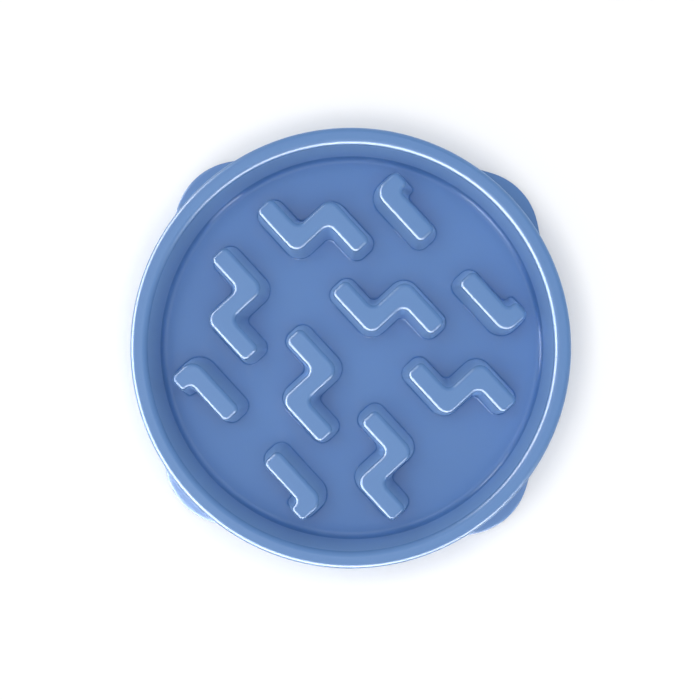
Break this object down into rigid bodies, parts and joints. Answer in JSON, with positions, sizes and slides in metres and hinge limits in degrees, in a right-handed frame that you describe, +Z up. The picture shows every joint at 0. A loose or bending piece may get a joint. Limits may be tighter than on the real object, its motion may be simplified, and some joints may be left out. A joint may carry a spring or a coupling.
{
  "type": "slow feeder bowl",
  "caption": "Round slow feeder bowl: a shallow dish with a maze of raised stepped ridges, a flat rim, a hollow skirt with small ears, and push-in rubber feet.",
  "frame": {"origin": "on the table, under the middle of the bowl, at the height of the feet's soles", "axes": "+Z up through the bowl's axis; the ears point along the diagonals of X and Y, and +Y is the picture's up direction"},
  "size_m": [0.224, 0.224, 0.05],
  "materials": {
    "shell": "satin moulded blue",
    "foot": "matt moulded rubber"
  },
  "bodies": {
    "root": {"bowl": "shell", "foot_front_right": "foot", "foot_rear_right": "foot", "foot_rear_left": "foot", "foot_front_left": "foot"}
  },
  "joints": []
}
